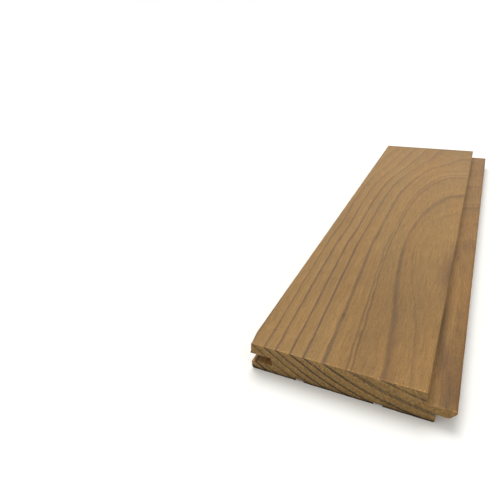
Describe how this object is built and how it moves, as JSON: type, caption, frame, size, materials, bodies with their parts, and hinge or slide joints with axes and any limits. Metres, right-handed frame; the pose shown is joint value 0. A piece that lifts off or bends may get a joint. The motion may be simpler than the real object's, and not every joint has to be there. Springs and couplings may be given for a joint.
{
  "type": "tongue and groove board",
  "caption": "Short length of planed softwood cladding board with a tongue, a matching groove, a shadow gap beside the tongue, and relief grooves along the back.",
  "frame": {"origin": "centre of the bounding box's base: on the back face, in the middle of the overall width and of the length", "axes": "+X across the width, towards the tongue; +Y along the grain; +Z out of the face"},
  "size_m": [0.12, 0.427, 0.02],
  "materials": {
    "softwood": "planed, uncoated, heat-treated softwood with a sawn end grain"
  },
  "bodies": {
    "root": {"board": "softwood"}
  },
  "joints": []
}
